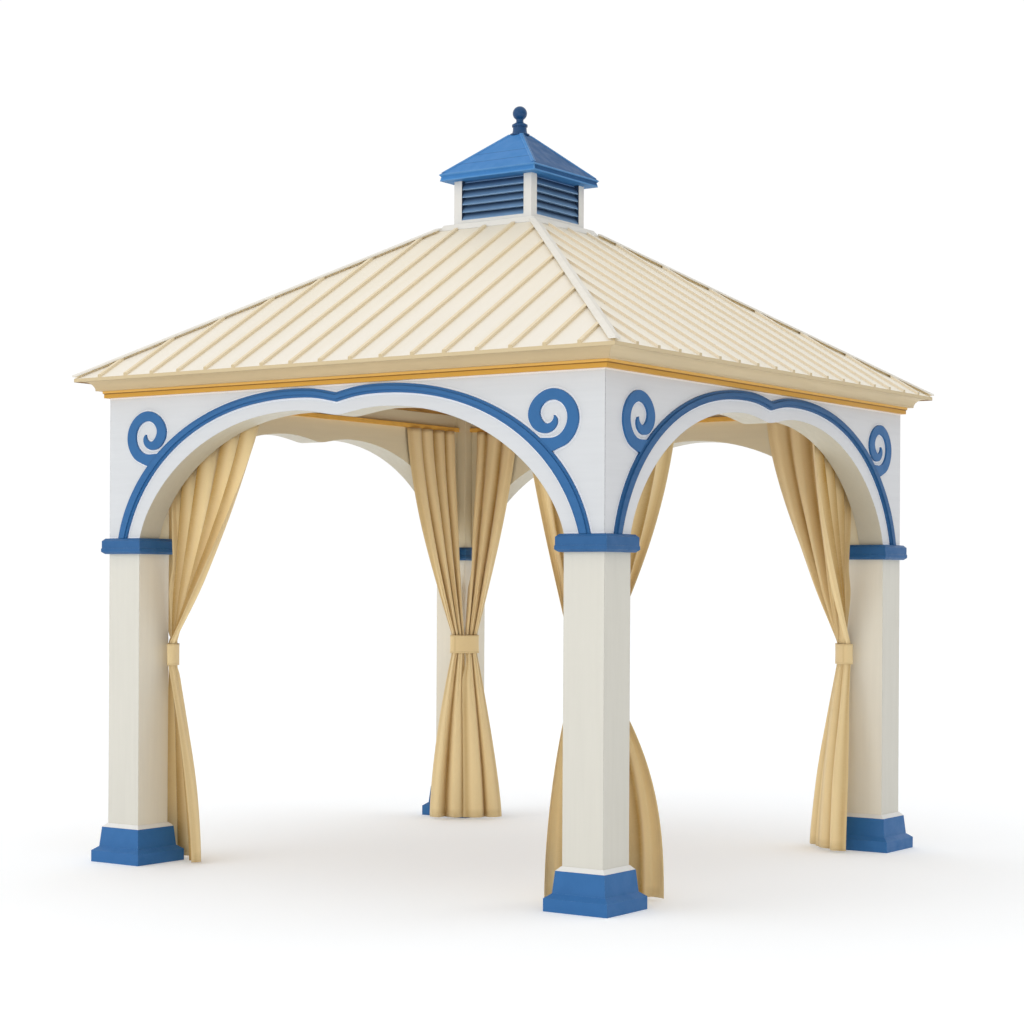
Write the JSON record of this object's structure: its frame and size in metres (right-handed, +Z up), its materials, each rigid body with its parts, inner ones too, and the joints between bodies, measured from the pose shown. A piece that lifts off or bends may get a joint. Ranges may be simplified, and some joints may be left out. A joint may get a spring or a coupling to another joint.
{
  "type": "garden pavilion",
  "caption": "Square open garden pavilion: double-lobed arches on corner posts, hipped ribbed roof, louvred cupola with ball finial, and tied curtains.",
  "frame": {"origin": "centre of the square plan on the floor, level with the undersides of the plinths", "axes": "+Z up through the finial; -Y towards the front arch, +X towards the right arch"},
  "size_m": [3.71, 3.71, 4.4831],
  "materials": {
    "post_paint": "satin warm white paint",
    "wall_paint": "satin white paint",
    "blue_paint": "satin blue paint",
    "gold_paint": "satin golden yellow paint",
    "tan_paint": "satin tan enamel",
    "roof_timber": "golden brown stain",
    "roof_sheet": "matt cream enamel",
    "ridge_sheet": "matt off-white enamel",
    "cupola_paint": "satin warm white paint",
    "rail_metal": "satin gold enamel",
    "curtain_cloth": "matt woven cloth"
  },
  "bodies": {
    "root": {"arch_moulding_back": "blue_paint", "arch_moulding_front": "blue_paint", "arch_moulding_left": "blue_paint", "arch_moulding_right": "blue_paint", "arch_panel_back": "wall_paint", "arch_panel_front": "wall_paint", "arch_panel_left": "wall_paint", "arch_panel_right": "wall_paint", "capitals": "blue_paint", "collars": "post_paint", "cornice_back": "tan_paint", "cornice_front": "tan_paint", "cornice_left": "tan_paint", "cornice_right": "tan_paint", "cupola_base": "cupola_paint", "cupola_frame": "cupola_paint", "cupola_louvres": "blue_paint", "cupola_roof": "blue_paint", "curtain_back_left": "curtain_cloth", "curtain_back_right": "curtain_cloth", "curtain_front_left": "curtain_cloth", "curtain_front_right": "curtain_cloth", "curtain_rails": "rail_metal", "curtain_ties": "curtain_cloth", "finial": "blue_paint", "frieze_back": "gold_paint", "frieze_front": "gold_paint", "frieze_left": "gold_paint", "frieze_right": "gold_paint", "hip_caps": "ridge_sheet", "hip_rafters": "roof_timber", "plinths": "blue_paint", "post_back_left": "post_paint", "post_back_right": "post_paint", "post_front_left": "post_paint", "post_front_right": "post_paint", "roof_panel_back": "roof_sheet", "roof_panel_front": "roof_sheet", "roof_panel_left": "roof_sheet", "roof_panel_right": "roof_sheet", "scrolls": "blue_paint", "wall_plate_back": "roof_timber", "wall_plate_front": "roof_timber", "wall_plate_left": "roof_timber", "wall_plate_right": "roof_timber"}
  },
  "joints": []
}
